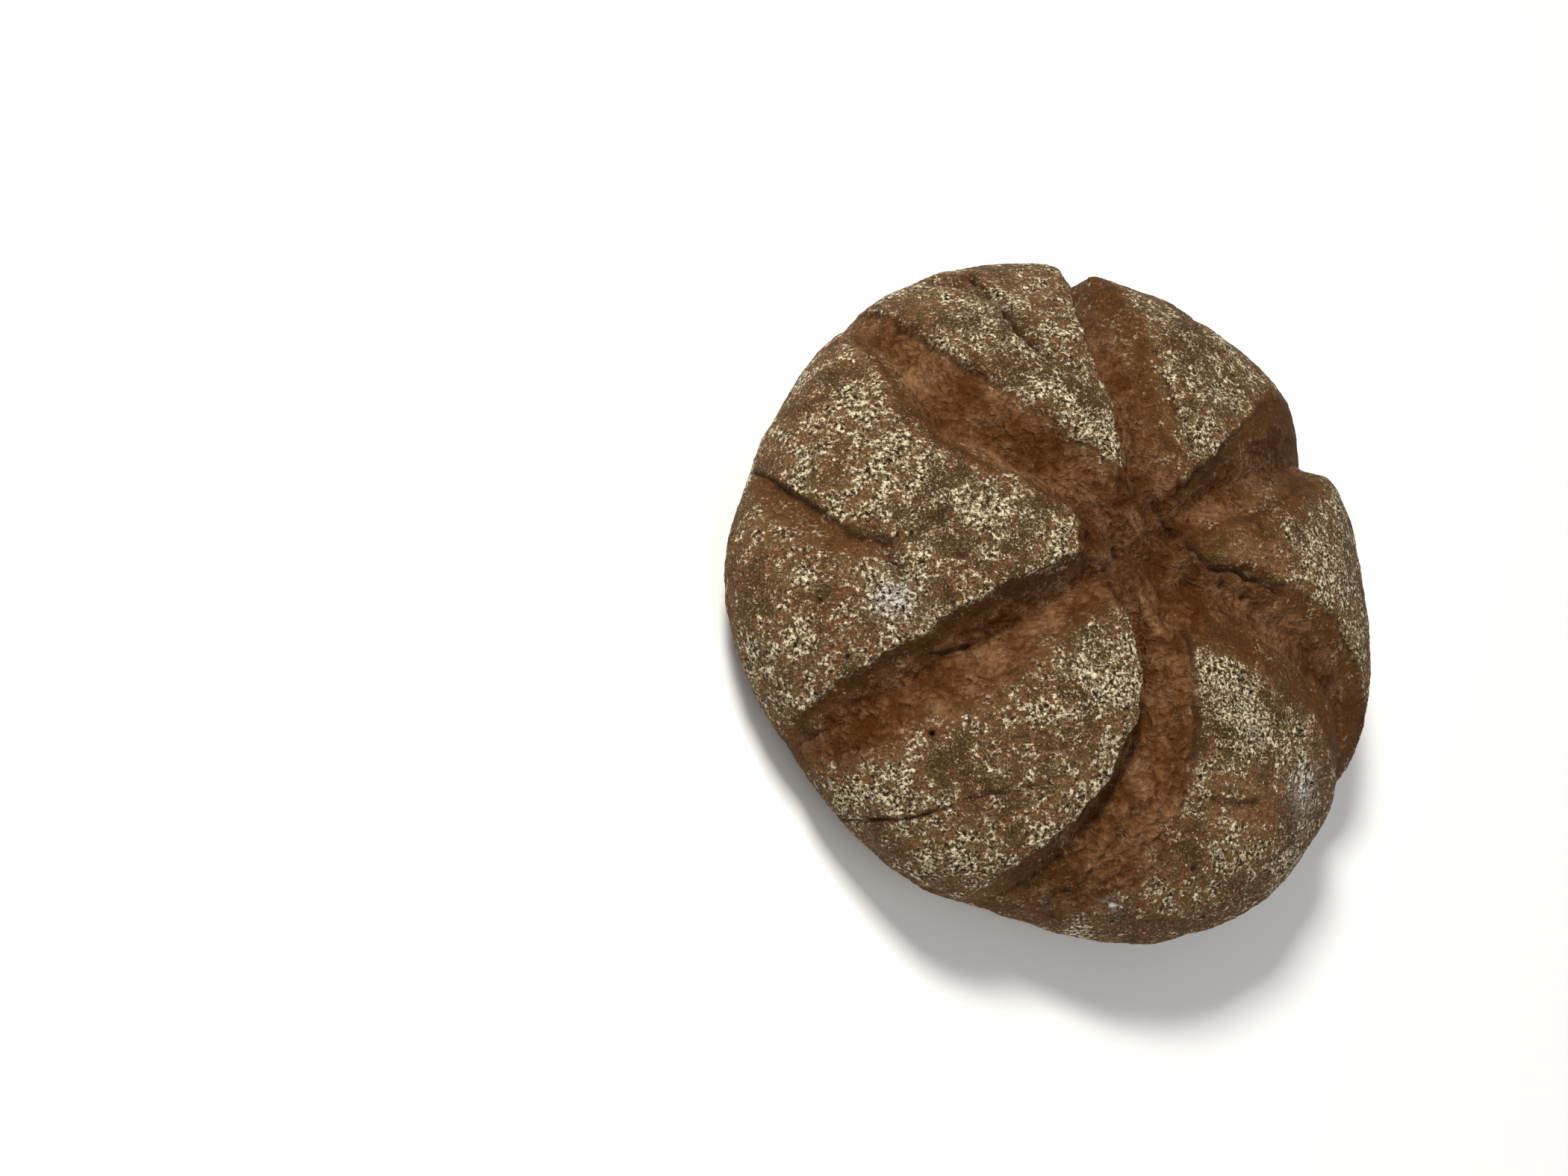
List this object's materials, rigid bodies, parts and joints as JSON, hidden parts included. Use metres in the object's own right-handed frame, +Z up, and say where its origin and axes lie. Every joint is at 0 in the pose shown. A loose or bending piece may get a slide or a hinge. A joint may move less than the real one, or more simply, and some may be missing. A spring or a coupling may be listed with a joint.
{
  "type": "sourdough loaf",
  "caption": "Round hearth-baked sourdough loaf with deep opened slashes meeting at the crown, floured crust and a flat underside to rest on.",
  "frame": {"origin": "middle of the loaf's plan, on its flat underside", "axes": "+Z up through the crown, the loaf's shortest extent; +X and +Y lie in the resting plane, with the deepest long slashes running to -Y and to -X -Y"},
  "size_m": [0.2316, 0.2312, 0.0712],
  "materials": {
    "crust": "matte, floured crust with darker baked crumb in the slashes"
  },
  "bodies": {
    "root": {"loaf": "crust"}
  },
  "joints": []
}
